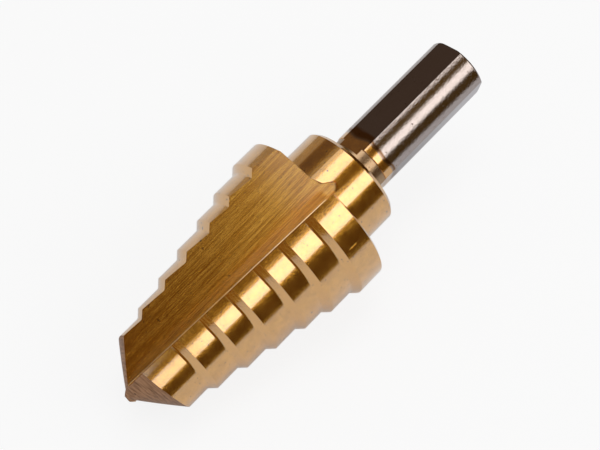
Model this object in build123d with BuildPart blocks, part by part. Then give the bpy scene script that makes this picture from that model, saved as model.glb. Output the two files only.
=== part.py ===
from build123d import *
from math import cos, radians, sin, tan
import os

# Step drill, turned and ground from one bar of tool steel. Millimetres.
# The drill is modelled about its own axis: Z runs from the point to the shank end,
# the cutting edge of flute one faces +X, and flute one opens towards -Y.

# Steps
first_diameter = 14.0
diameter_rise = 2.0
bevel_length = 1.05
first_step_end = 9.0
land_lengths = (4.0, 3.75, 4.0, 3.4, 3.95, 4.5)
step_root_radius = 0.5
back_chamfer_width = 0.5
back_chamfer_length = 0.3
back_rise = 0.5

# Collar, neck and shank
collar_diameter = 16.8
collar_length = 7.3
collar_chamfer = 0.55
neck_diameter = 9.7
neck_length = 2.4
shank_diameter = 10.0
shank_length = 21.4
shank_start_radius = 0.14
shank_end_radius = 0.4

# Three flats that the chuck jaws press on
flat_count = 3
flat_distance = 4.48
flat_start_before_shank = 1.1
flat_turn = -39.3

# Two straight flutes, each with a floor and a rake face
flute_count = 2
floor_height_at_point = 0.35
floor_slope = 9.65
floor_lean = 8.5
rake_offset_at_point = 1.1
rake_slope = 1.95
valley_radius = 0.3
flute_run_out = 0.55

# Tongue: the flute floor runs on into the collar, narrowing to a rounded tip
tongue_length = 2.15
tongue_tip_in = 1.15
tongue_tip_radius = 0.4
tongue_rake_length = 1.55
tongue_rake_radius = 0.7
tongue_waist_in = 2.3
tongue_waist_length = 0.5
tongue_root_in = 3.9
tongue_root_back = 0.05

# Ground point: each flank is part of a cone whose axis leans away from its lip
flank_half_angle = 55.7
flank_apex_forward = 0.44
flank_apex_ahead = 0.21
flank_apex_depth = -0.12
flank_lean_forward = 4.3
flank_lean_ahead = 3.0
flank_bulge = 0.12
flank_bulge_reach = 8.5

# Chisel edge: a small gable that the two flanks leave standing on the web
chisel_length = 1.25
chisel_turn = -59.0
chisel_half_angle = 52.0
chisel_height = 0.9
web_notch_reach = 1.7

# Where the seam of the turned faces goes, inside flute one and one flat
seam_turn = -26.0

# Places along the axis, from the point
diameters = [first_diameter + diameter_rise * i for i in range(len(land_lengths) + 1)]
body_end = first_step_end + sum(land_lengths) + bevel_length * len(land_lengths)
collar_end = body_end + collar_length
shank_start = collar_end + neck_length
overall_length = shank_start + shank_length
body_radius = diameters[-1] / 2
collar_radius = collar_diameter / 2
shank_radius = shank_diameter / 2
flute_end = body_end + flute_run_out
reach = 2 * body_radius

# Blank, turned in one piece
with BuildPart() as blank:
    with BuildSketch(Plane.XZ):
        with BuildLine():
            outline = [(0, 0), (first_diameter / 2, 0), (first_diameter / 2, first_step_end)]
            place = first_step_end
            roots = []
            for diameter, land_length in zip(diameters[1:], land_lengths):
                roots.append(outline[-1])
                outline.append((diameter / 2, place + bevel_length))
                place += bevel_length + land_length
                outline.append((diameter / 2, place))
            outline[-1] = (body_radius, body_end - back_chamfer_length)
            outline += [
                (body_radius - back_chamfer_width, body_end),
                (collar_radius, body_end + back_rise),
                (collar_radius, collar_end - collar_chamfer),
                (collar_radius - collar_chamfer, collar_end),
                (neck_diameter / 2, collar_end),
                (neck_diameter / 2, shank_start),
                (shank_radius, shank_start),
                (shank_radius, overall_length),
                (0, overall_length),
            ]
            Polyline(*outline, close=True)
        make_face()
        fillet([vertices().sort_by_distance(root)[0] for root in roots], step_root_radius)
        fillet(vertices().sort_by_distance((shank_radius, shank_start))[0], shank_start_radius)
        fillet(vertices().sort_by_distance((shank_radius, overall_length))[0], shank_end_radius)
    revolve(axis=Axis.Z)

# Flute: a V section pushed along a line that climbs from the thin web at the point
floor_climb = tan(radians(floor_slope))
floor_fall = tan(radians(floor_lean))
rake_drift = tan(radians(rake_slope))
valley_climb = floor_climb - floor_fall * rake_drift
valley = (floor_height_at_point + floor_fall * rake_offset_at_point, -rake_offset_at_point)
flute_direction = Vector(valley_climb, rake_drift, 1)

with BuildPart() as flute:
    with BuildSketch(Plane.XY):
        with BuildLine():
            Polyline(
                valley,
                (valley[0] + reach, valley[1]),
                (valley[0] + reach, valley[1] - reach),
                (valley[0] + floor_fall * reach, valley[1] - reach),
                close=True,
            )
        make_face()
        fillet(vertices().sort_by_distance(valley)[0], valley_radius)
    extrude(amount=flute_end * flute_direction.length, dir=flute_direction)

# Tongue, sketched on the flute floor where the full flute ends
tongue_plane = Plane(
    origin=(valley[0] + valley_climb * flute_end, valley[1] + rake_drift * flute_end, flute_end),
    x_dir=(-floor_fall, 1, 0),
    z_dir=(1, floor_fall, -floor_climb),
)

with BuildPart() as tongue:
    with BuildSketch(tongue_plane):
        with BuildLine():
            Polyline(
                (0, -flute_run_out),
                (0, tongue_rake_length),
                (-tongue_tip_in, tongue_length),
                (-tongue_waist_in, tongue_waist_length),
                (-tongue_root_in, -tongue_root_back),
                (-tongue_root_in, -flute_run_out),
                close=True,
            )
        make_face()
        fillet(vertices().sort_by_distance((0, tongue_rake_length))[0], tongue_rake_radius)
        fillet(vertices().sort_by_distance((-tongue_tip_in, tongue_length))[0], tongue_tip_radius)
    extrude(amount=collar_radius, dir=(1, 0, 0))

# Flat: one slab off the side of the shank
flat_length = shank_length + flat_start_before_shank

with BuildPart() as flat:
    with BuildSketch(Plane.XY.offset(shank_start - flat_start_before_shank)):
        with Locations((flat_distance + shank_radius / 2, 0)):
            Rectangle(shank_radius, shank_diameter)
    extrude(amount=flat_length)

# Chisel: the gable, with its ridge on the axis at the point
chisel_plane = Plane(
    origin=(0, 0, 0),
    x_dir=(-sin(radians(chisel_turn)), cos(radians(chisel_turn)), 0),
    z_dir=(cos(radians(chisel_turn)), sin(radians(chisel_turn)), 0),
)
chisel_half_width = chisel_height * tan(radians(chisel_half_angle))

with BuildPart() as chisel:
    with BuildSketch(chisel_plane):
        with BuildLine():
            Polyline(
                (0, 0),
                (chisel_half_width, chisel_height),
                (-chisel_half_width, chisel_height),
                close=True,
            )
        make_face()
    extrude(amount=chisel_length / 2, both=True)

# Flank: what the wheel takes off in front of one lip
lean = Vector(tan(radians(flank_lean_forward)), -tan(radians(flank_lean_ahead)), 1)
apex = Vector(flank_apex_forward, -flank_apex_ahead, flank_apex_depth)
cone_plane = Plane(origin=apex, x_dir=(lean.Z, 0, -lean.X), z_dir=lean)
cone_drop = 1 / tan(radians(flank_half_angle))
ridge_end = (
    chisel_length / 2 * cos(radians(chisel_turn)),
    chisel_length / 2 * sin(radians(chisel_turn)),
)

with BuildPart() as flank:
    with BuildSketch(Plane(origin=apex, x_dir=cone_plane.x_dir, z_dir=cone_plane.y_dir)):
        with BuildLine():
            ThreePointArc(
                (0, 0),
                (flank_bulge_reach / 2, flank_bulge - cone_drop * flank_bulge_reach / 2),
                (flank_bulge_reach, -cone_drop * flank_bulge_reach),
            )
            Polyline(
                (flank_bulge_reach, -cone_drop * flank_bulge_reach),
                (reach, -cone_drop * reach),
                (reach, reach),
                (0, reach),
                (0, 0),
            )
        make_face()
    revolve(axis=Axis(apex, lean))
    with BuildSketch(Plane.XY.offset(-reach)):
        with BuildLine():
            Polyline(
                (web_notch_reach, -rake_offset_at_point),
                ridge_end,
                (-ridge_end[0], -ridge_end[1]),
                (-web_notch_reach, rake_offset_at_point),
                (-reach, rake_offset_at_point),
                (-reach, reach),
                (reach, reach),
                (reach, -rake_offset_at_point),
                close=True,
            )
        make_face()
    extrude(amount=2 * reach, mode=Mode.INTERSECT)
    add(chisel.part, mode=Mode.SUBTRACT)

# The drill on its own axis
with BuildPart() as ground:
    with Locations(Rotation(0, 0, seam_turn)):
        add(blank.part)
    with PolarLocations(0, flute_count):
        add(flute.part, mode=Mode.SUBTRACT)
        add(tongue.part, mode=Mode.SUBTRACT)
        add(flank.part, mode=Mode.SUBTRACT)
    with PolarLocations(0, flat_count, start_angle=flat_turn):
        add(flat.part, mode=Mode.SUBTRACT)

# Rest pose: the drill lies on flute two's three corners, so flute one opens upwards
widest_land_start = body_end - land_lengths[-1]
lip_corner = ground.vertices().sort_by_distance(
    (-first_diameter / 2, rake_offset_at_point, first_diameter / 4)
)[0]
land_corners = ground.vertices().filter_by_position(
    Axis.Z, widest_land_start - 0.01, widest_land_start + 0.01
)
rake_corner = land_corners.sort_by(Axis.X)[0]
heel_corner = land_corners.sort_by(Axis.X)[1]
rake_line = rake_corner.center() - lip_corner.center()
heel_line = heel_corner.center() - lip_corner.center()
up = heel_line.cross(rake_line).normalized()
shank_way = Vector(0, 0, 1) - up * up.Z
rest_plane = Plane(origin=lip_corner.center(), x_dir=shank_way, z_dir=up)
laid = ground.part.moved(rest_plane.location.inverse())
laid_box = laid.bounding_box()

with BuildPart() as step_drill:
    with Locations((-laid_box.center().X, -laid_box.center().Y, -laid_box.min.Z)):
        add(laid)

step_drill.part.label = "step_drill"
os.makedirs("parts", exist_ok=True)
export_step(step_drill.part, "parts/step_drill.step")
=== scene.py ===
import math

import bpy
from bpy.props import FloatProperty, FloatVectorProperty, PointerProperty
from mathutils import Matrix, Vector

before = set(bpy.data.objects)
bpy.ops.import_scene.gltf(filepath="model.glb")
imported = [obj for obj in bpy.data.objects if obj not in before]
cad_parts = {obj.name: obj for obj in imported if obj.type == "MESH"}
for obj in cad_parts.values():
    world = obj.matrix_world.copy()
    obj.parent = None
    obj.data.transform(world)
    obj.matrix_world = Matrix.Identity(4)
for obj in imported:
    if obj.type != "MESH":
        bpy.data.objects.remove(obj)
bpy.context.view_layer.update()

bl_info = {
    "name": "Step drill",
    "version": (1, 0, 0),
    "blender": (4, 5, 0),
    "location": "3D View > Sidebar > Step drill",
    "description": "Finishes the step drill and sets up its studio",
    "category": "Object",
}

NODE = "step_drill"

# The drill's own axes, as part.py lays it down: SHANK runs from the point to the shank end,
# the flute floor faces nearly along FACE, and SIDE is square to both
FACE = Vector((-0.141913, -0.446560, 0.883428))
SIDE = Vector((0.070827, -0.894754, -0.440907))
SHANK = Vector((0.987342, 0.0, 0.158605))
TIP = Vector((-0.034867, 0.0, 0.005997))
MIDDLE = TIP + SHANK * 0.035
MILLIMETRES = 1000

# Regions of the drill, in millimetres along it from the point. A pair fades from 0 to 1, and
# the neck's three are from, to and soft edges
POINT_BACK = (7.5, 7.4)
BEVELS_START = (8.0, 8.1)
NECK_SPAN = (46.2, 48.6, 0.05)
FLATS_START = (47.4, 47.5)

# Distance of a surface's own plane from the axis, in millimetres: from, to, soft edges
FLAT_DEPTH = (4.3, 4.6, 0.05)
NECK_DEPTH = (4.8, 4.87, 0.02)

# Which way the flute floor faces, as shares of FACE, SIDE and SHANK, and how closely a
# surface faces that way to be part of it
FLOOR_WAY = (0.9754, 0.1457, -0.1654)
FLOOR_MATCH = (0.993, 0.997)

# How far the flanks of the point and the bevels face to the shank, as a share
FLANK_LEAN = (-0.35, -0.40)
BEVEL_LEAN = (-0.75, -0.62, 0.03)

# The end of the coating, in millimetres: how far it wanders, where bare steel starts, and the
# dark line on the round and on the flats, each from, to and how soft its edges are
COATING_WANDER = 2.4
BARE_START = (0.0, 0.4)
DARK_LINE_ROUND = (0.05, 0.45, 0.3)
DARK_LINE_FLAT = (0.1, 1.0, 0.4)

# Marks in the metal: place along the drill, to its side and to its face, then radius, in
# millimetres, and for the dent how many times longer it is along the drill
PITS = (
    (18.72, -8.65, 2.49, 0.22), (24.10, -9.49, 3.72, 0.30), (22.39, -8.34, 5.40, 0.16),
    (44.89, 7.49, 3.80, 0.20), (45.19, 5.98, 5.89, 0.12), (41.83, -2.73, 7.94, 0.14),
    (56.72, 1.16, 4.86, 0.13), (1.12, 0.26, 2.62, 0.22),
)
DENT = (36.0, 7.21, 10.81, 0.10, 9.0)

# Tints of the colours in the settings, as shares of their red, green and blue
DULL_GOLD = (0.90, 0.88, 0.80)
BRIGHT_GOLD = (1.06, 1.08, 1.3)
DEEP_GOLD = (0.75, 0.68, 0.55)
FLUTE_GOLD = (0.92, 1.04, 1.68)
BROWN_GOLD = (0.60, 0.52, 0.47)
DARK_GRIND = (0.55, 0.50, 0.45)
LIGHT_GRIND = (1.2, 1.2, 1.2)
DULL_STEEL = (0.86, 0.86, 0.86)
BRIGHT_STEEL = (1.08, 1.08, 1.08)
# The flats take the bare steel darker and bluer: painted shade standing in for the dark
# surroundings the flats reflect
FLATS_PAINTED_SHADE = (0.64, 0.66, 0.78)
PIT_DARK = (0.5, 0.5, 0.5)

# Height or depth of the fine marks, in hundredths of a millimetre, and how much coarser the
# turned marks are on bare steel
BUMP_UNIT = 0.00001
TURNED_HEIGHT = 1.3
GRAIN_HEIGHT = 1.6
STEEL_COARSER = 1.5
PIT_DEPTH = 2.0
DENT_DEPTH = 3.5
FLUTE_LINE_HEIGHT = 1.6
SCRATCH_DEPTH = 1.5
POINT_LINE_HEIGHT = 4.0
POINT_SPECKLE_HEIGHT = 1.5
FLAT_LINE_HEIGHT = 0.5

# Shine of each finish
COATING_SKIN_ROUGHNESS = 0.09
COATING_SKIN_IOR = 2.42
FLUTE_ROUGHNESS = 0.22
POINT_ROUGHNESS = 0.40
NECK_ROUGHNESS = 0.28
STEEL_ROUGHNESS = 0.145
CLOUDY_ROUGHNESS = 0.10
FLUTE_COATING_LOSS = 0.75

# Studio round the drill's axis. Angles are in degrees, distances in metres: turn about the
# axis, lean along it, half of each span, then distance from the middle of the drill
LAMP_DISTANCE = 0.60
SOFT_BOXES = (
    # Name, turn, lean, half turn, half lean, share of the lamp level
    ("key_box", 63.2, 27, 13, 23, 1.0),
    ("back_box", 119.7, 21, 12.2, 27, 0.88),
)
CARD_COLOURS = {
    "far dark": (0.146, 0.094, 0.054),
    "cool": (0.85, 1.0, 1.25),
    "white": (1.0, 1.0, 1.0),
    "warm": (1.0, 0.80, 0.50),
}
CARDS = (
    # Name, turn, lean, half turn, half lean, distance, colour, level
    ("side_flag", 32, 20, 18, 45, 0.80, "dark", 1.0),
    ("camera_flag", 95, 27, 13, 25, 0.82, "dark", 1.5),
    ("back_glow", 139, 20, 7, 45, 0.83, "white", 0.8),
    ("far_flag", 169, 20, 17, 45, 0.84, "far dark", 1.0),
    ("low_flag", 61, -18.5, 31, 12.6, 0.86, "dark", 1.8),
    ("wall_card", 66, -0.6, 14, 4.8, 0.88, "white", 1.55),
    ("valley_card", 112, -18, 18, 9, 0.87, "white", 0.23),
    ("upper_valley_card", 112, -2, 18, 7, 0.89, "cool", 0.78),
    ("end_flag", 100, 68, 179, 20, 0.90, "dark", 1.0),
    ("front_flag", 110, -60, 100, 29, 0.92, "dark", 2.4),
)
ROOM = ("room", 115, 0, 100, 89, 1.20, "warm")
CARD_STEPS = 8
PAPERS = (
    # Name, near corner, far corner, level
    ("front_paper", (-1.6, -1.0), (-0.20, 1.0), 2.4),
    ("back_paper", (0.14, -1.0), (1.6, 1.0), 1.0),
    ("side_paper", (-0.199, -1.0), (0.139, -0.071), 1.0),
)
PAPER_LIFT = 0.001
FLOOR_REACH = 3.0
FLOOR_GLOW_IN_VIEW = 0.85
FLOOR_GLOW_IN_METAL = 0.10
WORLD_LIGHT = 0.45

# Camera, fitted to the step circles in the photograph
CAMERA_PLACE = Vector((-0.071401, -0.086560, 0.175925))
CAMERA_RIGHT = Vector((0.706926, -0.704356, -0.064333))
CAMERA_UP = Vector((0.609654, 0.560705, 0.560295))
CAMERA_BACK = Vector((-0.358576, -0.435309, 0.825791))
SENSOR_WIDTH = 36.0
NEAREST_IN_VIEW = 0.01


# Settings


class DrillFinish(bpy.types.PropertyGroup):
    coating: FloatVectorProperty(
        name="Coating", description="Gold coating on the ground steps", subtype="COLOR",
        default=(0.72, 0.35, 0.038), min=0.0, max=1.0,
    )
    bare_steel: FloatVectorProperty(
        name="Bare steel", description="Ground steel of the shank", subtype="COLOR",
        default=(0.43, 0.375, 0.36), min=0.0, max=1.0,
    )
    tempered: FloatVectorProperty(
        name="Tempered steel", description="Dark line where the coating ends", subtype="COLOR",
        default=(0.19, 0.095, 0.04), min=0.0, max=1.0,
    )
    neck_steel: FloatVectorProperty(
        name="Neck", description="Thin coating in the neck", subtype="COLOR",
        default=(0.40, 0.27, 0.16), min=0.0, max=1.0,
    )
    point_steel: FloatVectorProperty(
        name="Point", description="Coarse ground faces of the point", subtype="COLOR",
        default=(0.37, 0.20, 0.105), min=0.0, max=1.0,
    )
    coating_end: FloatProperty(
        name="Coating end", description="Distance from the point to the end of the coating",
        default=0.05, min=0.0, unit="LENGTH",
    )
    polish: FloatProperty(
        name="Polish", description="Roughness of the ground lands", subtype="FACTOR",
        default=0.20, min=0.0, max=1.0,
    )


class StudioSettings(bpy.types.PropertyGroup):
    floor_colour: FloatVectorProperty(
        name="Floor", description="Colour of the floor", subtype="COLOR",
        default=(0.9, 0.9, 0.9), min=0.0, max=1.0,
    )
    lamp_level: FloatProperty(
        name="Lamp level", description="Brightness of the two soft boxes", default=1.9, min=0.0,
    )
    dark_card: FloatVectorProperty(
        name="Dark card", description="Brown of the dark cards seen in the metal",
        subtype="COLOR", default=(0.10, 0.055, 0.013), min=0.0, max=1.0,
    )
    room_level: FloatProperty(
        name="Room level", description="Brightness of the room seen in the metal",
        default=0.40, min=0.0,
    )
    lens: FloatProperty(
        name="Lens", description="Focal length of the camera", unit="CAMERA",
        default=81.83, min=1.0,
    )


# Shader parts


def opaque(colour, scale=(1.0, 1.0, 1.0)):
    return tuple(c * k for c, k in zip(colour, scale)) + (1.0,)


class Nodes:
    """Adds nodes to one tree and joins them in few words."""

    def __init__(self, tree):
        self.tree = tree
        self.count = 0

    def add(self, kind, **values):
        node = self.tree.nodes.new(kind)
        self.count += 1
        node.location = (180 * (self.count % 12), -220 * (self.count // 12))
        for name, value in values.items():
            setattr(node, name, value)
        return node

    def join(self, source, target):
        self.tree.links.new(source, target)

    def feed(self, target, source):
        if isinstance(source, bpy.types.NodeSocket):
            self.join(source, target)
        else:
            target.default_value = source

    def math(self, operation, first, second=0.0, clamp=False):
        node = self.add("ShaderNodeMath", operation=operation, use_clamp=clamp)
        self.feed(node.inputs[0], first)
        self.feed(node.inputs[1], second)
        return node.outputs[0]

    def plus(self, first, second):
        return self.math("ADD", first, second)

    def minus(self, first, second):
        return self.math("SUBTRACT", first, second)

    def times(self, first, second):
        return self.math("MULTIPLY", first, second)

    def most(self, first, second):
        return self.math("MAXIMUM", first, second)

    def vector_math(self, operation, first, second):
        node = self.add("ShaderNodeVectorMath", operation=operation)
        self.feed(node.inputs[0], first)
        self.feed(node.inputs[1], second)
        return node

    def dot(self, first, second):
        return self.vector_math("DOT_PRODUCT", first, second).outputs["Value"]

    def distance(self, first, second):
        return self.vector_math("DISTANCE", first, second).outputs["Value"]

    def scaled(self, place, x, y, z):
        return self.vector_math("MULTIPLY", place, (x, y, z)).outputs[0]

    def combine(self, x, y, z):
        node = self.add("ShaderNodeCombineXYZ")
        for target, source in zip(node.inputs, (x, y, z)):
            self.feed(target, source)
        return node.outputs[0]

    def fade(self, value, low, high):
        """0 at low, 1 at high, straight between them."""
        node = self.add("ShaderNodeMapRange", clamp=True)
        self.feed(node.inputs["Value"], value)
        node.inputs["From Min"].default_value = low
        node.inputs["From Max"].default_value = high
        return node.outputs["Result"]

    def band(self, value, low, high, soft):
        """1 from low to high, fading to 0 over a soft width outside them."""
        rise = self.fade(value, low - soft, low)
        fall = self.fade(value, high, high + soft)
        return self.math("SUBTRACT", rise, fall, clamp=True)

    def mix(self, factor, first, second):
        node = self.add("ShaderNodeMix", data_type="RGBA")
        self.feed(node.inputs[0], factor)
        self.feed(node.inputs[6], first)
        self.feed(node.inputs[7], second)
        return node.outputs[2]

    def blend_value(self, factor, first, second):
        node = self.add("ShaderNodeMix", data_type="FLOAT")
        self.feed(node.inputs[0], factor)
        self.feed(node.inputs[2], first)
        self.feed(node.inputs[3], second)
        return node.outputs[0]

    def noise(self, place, scale, detail, roughness=0.5):
        node = self.add("ShaderNodeTexNoise")
        self.feed(node.inputs["Vector"], place)
        node.inputs["Scale"].default_value = scale
        node.inputs["Detail"].default_value = detail
        node.inputs["Roughness"].default_value = roughness
        return node.outputs["Fac"]

    def streaks(self, place, scales, detail, roughness):
        """Noise with its own scale along each axis."""
        return self.noise(self.scaled(place, *scales), 1.0, detail, roughness)

    def glow(self, colour, level):
        node = self.add("ShaderNodeEmission")
        node.inputs["Color"].default_value = opaque(colour)
        node.inputs["Strength"].default_value = level
        return node.outputs[0]


def new_material(name):
    material = bpy.data.materials.new(name)
    material.use_nodes = True
    material.node_tree.nodes.clear()
    n = Nodes(material.node_tree)
    return material, n, n.add("ShaderNodeOutputMaterial")


def new_group(name, inputs, outputs):
    tree = bpy.data.node_groups.new(name, "ShaderNodeTree")
    for label, kind, value in inputs:
        socket = tree.interface.new_socket(label, in_out="INPUT", socket_type=kind)
        socket.default_value = value
    for label, kind in outputs:
        tree.interface.new_socket(label, in_out="OUTPUT", socket_type=kind)
    n = Nodes(tree)
    return tree, n, n.add("NodeGroupInput"), n.add("NodeGroupOutput")


def place_on_drill_group():
    """Where a point of the surface is on the drill, in millimetres, and which way it faces."""
    places = (("Along", SHANK), ("Face", FACE), ("Side", SIDE))
    facings = (("Facing Face", FACE), ("Facing Side", SIDE), ("Facing Shank", SHANK))
    tree, n, _, out = new_group(
        "Place on drill", [], [(label, "NodeSocketFloat") for label, _ in places + facings]
    )
    object_place = n.add("ShaderNodeTexCoord").outputs["Object"]
    from_tip = n.vector_math("SUBTRACT", object_place, TIP).outputs[0]
    normal = n.add("ShaderNodeNewGeometry").outputs["True Normal"]
    for label, axis in places:
        n.join(n.dot(from_tip, axis * MILLIMETRES), out.inputs[label])
    for label, axis in facings:
        n.join(n.dot(normal, axis), out.inputs[label])
    return tree


def marks_group():
    """Small pits, and one dent longer along the drill, at their places in millimetres."""
    tree, n, given, out = new_group(
        "Marks", [("Place", "NodeSocketVector", (0.0, 0.0, 0.0))],
        [("Pit", "NodeSocketFloat"), ("Dent", "NodeSocketFloat")],
    )
    pit = 0.0
    for along, side, face, radius in PITS:
        away = n.distance(given.outputs["Place"], (along, side, face))
        pit = n.most(pit, n.fade(away, radius, radius * 0.5))
    n.join(pit, out.inputs["Pit"])
    along, side, face, radius, stretch = DENT
    shortened = n.scaled(given.outputs["Place"], 1 / stretch, 1.0, 1.0)
    away = n.distance(shortened, (along / stretch, side, face))
    n.join(n.fade(away, radius, radius * 0.3), out.inputs["Dent"])
    return tree


# Metal


class Regions:
    """Where each point of the surface is, and a mask for each region of the drill."""

    def __init__(self, n, settings):
        place = n.add("ShaderNodeGroup", node_tree=place_on_drill_group()).outputs
        along, side, face = place["Along"], place["Side"], place["Face"]
        facing_face = place["Facing Face"]
        facing_side = place["Facing Side"]
        facing_shank = place["Facing Shank"]
        self.surface = n.combine(along, side, face)

        # Flute floors lie on both sides of the drill, turned half a turn from each other
        half = n.math("SIGN", facing_face)
        self.in_flute = n.combine(along, side, half)
        to_floor = n.plus(
            n.plus(
                n.times(n.times(facing_face, half), FLOOR_WAY[0]),
                n.times(n.times(facing_side, half), FLOOR_WAY[1]),
            ),
            n.times(facing_shank, FLOOR_WAY[2]),
        )
        self.floor = n.fade(to_floor, *FLOOR_MATCH)
        self.point = n.times(n.fade(facing_shank, *FLANK_LEAN), n.fade(along, *POINT_BACK))
        self.bevel = n.times(n.band(facing_shank, *BEVEL_LEAN), n.fade(along, *BEVELS_START))
        from_axis = n.math("SQRT", n.plus(n.times(face, face), n.times(side, side)))
        self.round_point = n.combine(from_axis, along, n.math("ARCTAN2", side, face))

        # Distance of the surface's own plane from the axis: flats and neck are closest to it
        depth = n.plus(n.times(facing_face, face), n.times(facing_side, side))
        self.flats = n.times(n.fade(along, *FLATS_START), n.band(depth, *FLAT_DEPTH))
        self.neck = n.times(n.band(along, *NECK_SPAN), n.band(depth, *NECK_DEPTH))

        # The coating ends unevenly, in a dark line that is wide on the flats
        wander = n.times(n.minus(n.noise(self.surface, 0.22, 1.0), 0.5), COATING_WANDER)
        past_coating = n.plus(n.minus(along, settings.coating_end * MILLIMETRES), wander)
        self.bare = n.fade(past_coating, *BARE_START)
        self.dark_line = n.blend_value(
            self.flats,
            n.band(past_coating, *DARK_LINE_ROUND), n.band(past_coating, *DARK_LINE_FLAT),
        )


class Wear:
    """Grain, scratches and pits, with their scales per millimetre along each axis."""

    def __init__(self, n, regions):
        # Lines run along the flutes and round the rest
        surface = regions.surface
        self.flute_lines = n.streaks(regions.in_flute, (0.12, 6.0, 5.0), 3.0, 0.7)
        self.flute_tone = n.streaks(regions.in_flute, (0.07, 1.2, 9.0), 3.0, 0.6)
        self.turned_lines = n.streaks(surface, (3.0, 0.4, 0.4), 3.0, 0.6)
        self.point_lines = n.streaks(regions.round_point, (4.0, 3.0, 1.6), 3.0, 0.7)
        self.flat_lines = n.streaks(surface, (7.0, 0.6, 0.6), 3.0, 0.6)
        self.grain = n.noise(surface, 3.2, 3.0, 0.6)
        self.speckle = n.noise(surface, 7.0, 2.0, 0.6)
        self.cloud = n.noise(surface, 0.7, 2.0)
        self.scratches = n.fade(n.streaks(surface, (0.9, 6.5, 2.0), 1.0, 0.4), 0.70, 0.74)
        marks = n.add("ShaderNodeGroup", node_tree=marks_group())
        n.join(surface, marks.inputs["Place"])
        scattered = n.fade(n.noise(surface, 2.6, 1.0, 0.4), 0.735, 0.76)
        self.pits = n.most(scattered, marks.outputs["Pit"])
        self.dent = marks.outputs["Dent"]


def flute_colour(n, settings, wear):
    brown = opaque(settings.coating, BROWN_GOLD)
    colour = n.mix(
        n.fade(wear.flute_tone, 0.25, 0.55), brown, opaque(settings.coating, FLUTE_GOLD)
    )
    colour = n.mix(n.fade(wear.flute_lines, 0.39, 0.53), brown, colour)
    return n.mix(wear.scratches, colour, opaque(settings.coating, DEEP_GOLD))


def coating_colour(n, settings, regions, wear):
    colour = n.mix(
        n.fade(wear.cloud, 0.35, 0.65),
        opaque(settings.coating, DULL_GOLD), opaque(settings.coating, BRIGHT_GOLD),
    )
    speckle = n.times(n.fade(wear.speckle, 0.58, 0.70), 0.7)
    colour = n.mix(speckle, colour, opaque(settings.coating, DEEP_GOLD))
    colour = n.mix(regions.floor, colour, flute_colour(n, settings, wear))
    return n.mix(n.times(regions.bevel, 0.7), colour, opaque(settings.coating))


def point_colour(n, settings, wear):
    return n.mix(
        n.fade(wear.point_lines, 0.36, 0.60),
        opaque(settings.point_steel, DARK_GRIND), opaque(settings.point_steel, LIGHT_GRIND),
    )


def steel_colour(n, settings, regions, wear):
    steel = n.mix(
        n.fade(wear.speckle, 0.35, 0.65),
        opaque(settings.bare_steel, DULL_STEEL), opaque(settings.bare_steel, BRIGHT_STEEL),
    )
    # Painted shade: the flats get a darker copy of the bare steel, standing in for the dark
    # reflection they catch
    return n.mix(regions.flats, steel, opaque(settings.bare_steel, FLATS_PAINTED_SHADE))


def metal_colour(n, settings, regions, wear):
    colour = coating_colour(n, settings, regions, wear)
    colour = n.mix(regions.point, colour, point_colour(n, settings, wear))
    colour = n.mix(regions.neck, colour, opaque(settings.neck_steel))
    colour = n.mix(regions.bare, colour, steel_colour(n, settings, regions, wear))
    colour = n.mix(regions.dark_line, colour, opaque(settings.tempered))
    return n.mix(wear.pits, colour, opaque(settings.tempered, PIT_DARK))


def metal_roughness(n, settings, regions, wear):
    rough = n.blend_value(regions.floor, settings.polish, FLUTE_ROUGHNESS)
    rough = n.blend_value(regions.point, rough, POINT_ROUGHNESS)
    rough = n.blend_value(regions.neck, rough, NECK_ROUGHNESS)
    rough = n.blend_value(regions.bare, rough, STEEL_ROUGHNESS)
    return n.plus(rough, n.times(n.minus(wear.cloud, 0.5), CLOUDY_ROUGHNESS))


def coating_weight(n, regions):
    worn = n.most(regions.bare, n.times(regions.floor, FLUTE_COATING_LOSS))
    return n.minus(1.0, n.most(worn, n.most(regions.point, regions.neck)))


def metal_height(n, regions, wear):
    height = n.plus(
        n.times(wear.turned_lines, TURNED_HEIGHT), n.times(wear.grain, GRAIN_HEIGHT)
    )
    height = n.times(height, n.blend_value(regions.bare, 1.0, STEEL_COARSER))
    height = n.minus(height, n.times(wear.pits, PIT_DEPTH))
    height = n.minus(height, n.times(wear.dent, DENT_DEPTH))
    flute = n.minus(
        n.times(wear.flute_lines, FLUTE_LINE_HEIGHT), n.times(wear.scratches, SCRATCH_DEPTH)
    )
    height = n.blend_value(regions.floor, height, flute)
    point = n.plus(
        n.times(wear.point_lines, POINT_LINE_HEIGHT),
        n.times(wear.speckle, POINT_SPECKLE_HEIGHT),
    )
    height = n.blend_value(regions.point, height, point)
    return n.blend_value(regions.flats, height, n.times(wear.flat_lines, FLAT_LINE_HEIGHT))


def ground_metal(settings):
    material, n, output = new_material("ground_and_coated_steel")
    metal = n.add("ShaderNodeBsdfPrincipled")
    n.join(metal.outputs[0], output.inputs[0])
    metal.inputs["Metallic"].default_value = 1.0
    metal.inputs["Coat Roughness"].default_value = COATING_SKIN_ROUGHNESS
    metal.inputs["Coat IOR"].default_value = COATING_SKIN_IOR
    regions = Regions(n, settings)
    wear = Wear(n, regions)
    n.join(metal_colour(n, settings, regions, wear), metal.inputs["Base Color"])
    n.join(metal_roughness(n, settings, regions, wear), metal.inputs["Roughness"])
    n.join(coating_weight(n, regions), metal.inputs["Coat Weight"])
    bump = n.add("ShaderNodeBump")
    bump.inputs["Strength"].default_value = 1.0
    bump.inputs["Distance"].default_value = BUMP_UNIT
    n.join(metal_height(n, regions, wear), bump.inputs["Height"])
    n.join(bump.outputs[0], metal.inputs["Normal"])
    return material


class DRILL_OT_finish_metal(bpy.types.Operator):
    """Give the drill its ground and coated metal"""

    bl_idname = "drill.finish_metal"
    bl_label = "Finish the metal"

    def execute(self, context):
        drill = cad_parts[NODE]
        material = ground_metal(context.scene.drill_finish)
        for slot in drill.material_slots:
            slot.material = material
        return {"FINISHED"}


# Studio


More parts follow.
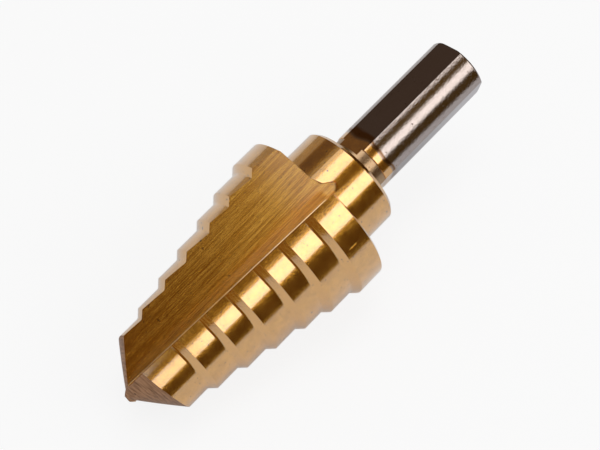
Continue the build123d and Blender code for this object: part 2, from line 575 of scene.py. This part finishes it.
def studio_direction(turn, lean):
    """Direction at a turn about the drill's axis, from SIDE towards FACE, leaning to the shank."""
    across = math.cos(lean)
    return across * (math.cos(turn) * SIDE + math.sin(turn) * FACE) + math.sin(lean) * SHANK


def new_piece(name, data):
    piece = bpy.data.objects.new(name, data)
    bpy.context.scene.collection.objects.link(piece)
    return piece


def set_facing(piece, place, right, up, back):
    """Put a lamp or the camera at a place, turned to look away from its back."""
    turned = Matrix((right, up, back)).transposed().to_4x4()
    piece.matrix_world = Matrix.Translation(place) @ turned


def glowing_sheet(name, points, faces, colour, level):
    """A sheet that only the metal shows."""
    mesh = bpy.data.meshes.new(name)
    mesh.from_pydata(points, [], faces)
    piece = new_piece(name, mesh)
    material, n, output = new_material(name)
    n.join(n.glow(colour, level), output.inputs[0])
    mesh.materials.append(material)
    piece.visible_camera = False
    piece.visible_diffuse = False
    piece.visible_shadow = False
    piece.visible_transmission = False


def card(name, turn, lean, half_turn, half_lean, distance, colour, level):
    """A curved card that spans turns about the drill's axis and leans along it, in degrees."""
    points = []
    faces = []
    for row in range(CARD_STEPS + 1):
        for column in range(CARD_STEPS + 1):
            at_turn = math.radians(turn + half_turn * (2 * column / CARD_STEPS - 1))
            at_lean = math.radians(lean + half_lean * (2 * row / CARD_STEPS - 1))
            points.append(MIDDLE + distance * studio_direction(at_turn, at_lean))
            if row and column:
                here = row * (CARD_STEPS + 1) + column
                below = here - CARD_STEPS - 1
                faces.append((here, here - 1, below - 1, below))
    glowing_sheet(name, points, faces, colour, level)


def floor_paper(name, near, far, colour, level):
    """Dark paper on the floor beside the drill."""
    corners = (near, (far[0], near[1]), far, (near[0], far[1]))
    points = [(x, y, PAPER_LIFT) for x, y in corners]
    glowing_sheet(name, points, [(0, 1, 2, 3)], colour, level)


def soft_box(name, turn, lean, half_turn, half_lean, level):
    lamp = bpy.data.lights.new(name, "AREA")
    lamp.shape = "RECTANGLE"
    lamp.size = 2 * LAMP_DISTANCE * math.tan(math.radians(half_lean))
    lamp.size_y = 2 * LAMP_DISTANCE * math.tan(math.radians(half_turn))
    lamp.energy = level * math.pi * lamp.size * lamp.size_y
    direction = studio_direction(math.radians(turn), math.radians(lean))
    across = (SHANK - direction * SHANK.dot(direction)).normalized()
    place = MIDDLE + direction * LAMP_DISTANCE
    set_facing(new_piece(name, lamp), place, across, direction.cross(across), direction)


def pale_floor(settings):
    """White in the view and paler in the metal, and lit as paper so that it keeps the shadow."""
    mesh = bpy.data.meshes.new("floor")
    corners = ((-1, -1), (1, -1), (1, 1), (-1, 1))
    mesh.from_pydata(
        [(FLOOR_REACH * x, FLOOR_REACH * y, 0) for x, y in corners], [], [(0, 1, 2, 3)]
    )
    floor = new_piece("floor", mesh)
    material, n, output = new_material("pale_floor")
    paper = n.add("ShaderNodeBsdfDiffuse")
    paper.inputs["Color"].default_value = opaque(settings.floor_colour)
    path = n.add("ShaderNodeLightPath").outputs
    seen = n.math(
        "ADD",
        n.times(path["Is Camera Ray"], FLOOR_GLOW_IN_VIEW),
        n.times(path["Is Glossy Ray"], FLOOR_GLOW_IN_METAL),
        clamp=True,
    )
    blend = n.add("ShaderNodeMixShader")
    n.join(seen, blend.inputs[0])
    n.join(paper.outputs[0], blend.inputs[1])
    n.join(n.glow(CARD_COLOURS["white"], 1.0), blend.inputs[2])
    n.join(blend.outputs[0], output.inputs[0])
    mesh.materials.append(material)


def pale_world():
    """White where it is seen, and a dimmer light on the drill."""
    world = bpy.data.worlds.new("pale_room")
    bpy.context.scene.world = world
    world.use_nodes = True
    world.node_tree.nodes.clear()
    n = Nodes(world.node_tree)
    output = n.add("ShaderNodeOutputWorld")
    sky = n.add("ShaderNodeBackground")
    sky.inputs["Color"].default_value = opaque(CARD_COLOURS["white"])
    path = n.add("ShaderNodeLightPath").outputs
    seen = n.math("ADD", path["Is Camera Ray"], path["Is Glossy Ray"], clamp=True)
    seen = n.math("ADD", seen, path["Is Transmission Ray"], clamp=True)
    n.join(n.blend_value(seen, WORLD_LIGHT, 1.0), sky.inputs["Strength"])
    n.join(sky.outputs[0], output.inputs[0])


class DRILL_OT_set_studio(bpy.types.Operator):
    """Lay the floor and set the lamps and cards round the drill"""

    bl_idname = "drill.set_studio"
    bl_label = "Set the studio"

    def execute(self, context):
        settings = context.scene.drill_studio
        colours = {"dark": settings.dark_card, **CARD_COLOURS}
        pale_floor(settings)
        pale_world()
        for *span, share in SOFT_BOXES:
            soft_box(*span, settings.lamp_level * share)
        for *span, colour, level in CARDS + (ROOM + (settings.room_level,),):
            card(*span, colours[colour], level)
        for name, near, far, level in PAPERS:
            floor_paper(name, near, far, settings.dark_card, level)
        return {"FINISHED"}


class DRILL_OT_place_camera(bpy.types.Operator):
    """Set the camera where the photograph was taken from"""

    bl_idname = "drill.place_camera"
    bl_label = "Place the camera"

    def execute(self, context):
        lens = bpy.data.cameras.new("camera")
        lens.lens = context.scene.drill_studio.lens
        lens.sensor_width = SENSOR_WIDTH
        lens.clip_start = NEAREST_IN_VIEW
        camera = new_piece("camera", lens)
        set_facing(camera, CAMERA_PLACE, CAMERA_RIGHT, CAMERA_UP, CAMERA_BACK)
        context.scene.camera = camera
        context.scene.view_settings.view_transform = "Standard"
        return {"FINISHED"}


class DRILL_PT_panel(bpy.types.Panel):
    """Sidebar panel of the step drill"""

    bl_label = "Step drill"
    bl_idname = "DRILL_PT_panel"
    bl_space_type = "VIEW_3D"
    bl_region_type = "UI"
    bl_category = "Step drill"

    def draw(self, context):
        layout = self.layout
        for group in (context.scene.drill_finish, context.scene.drill_studio):
            for name in group.__annotations__:
                layout.prop(group, name)
        for operator in OPERATORS:
            layout.operator(operator.bl_idname)


OPERATORS = (DRILL_OT_finish_metal, DRILL_OT_set_studio, DRILL_OT_place_camera)
CLASSES = (DrillFinish, StudioSettings) + OPERATORS + (DRILL_PT_panel,)


def register():
    for cls in CLASSES:
        bpy.utils.register_class(cls)
    bpy.types.Scene.drill_finish = PointerProperty(type=DrillFinish)
    bpy.types.Scene.drill_studio = PointerProperty(type=StudioSettings)


def unregister():
    del bpy.types.Scene.drill_studio
    del bpy.types.Scene.drill_finish
    for cls in reversed(CLASSES):
        bpy.utils.unregister_class(cls)


def main():
    register()
    bpy.ops.drill.finish_metal()
    bpy.ops.drill.set_studio()
    bpy.ops.drill.place_camera()


if __name__ == "__main__":
    main()
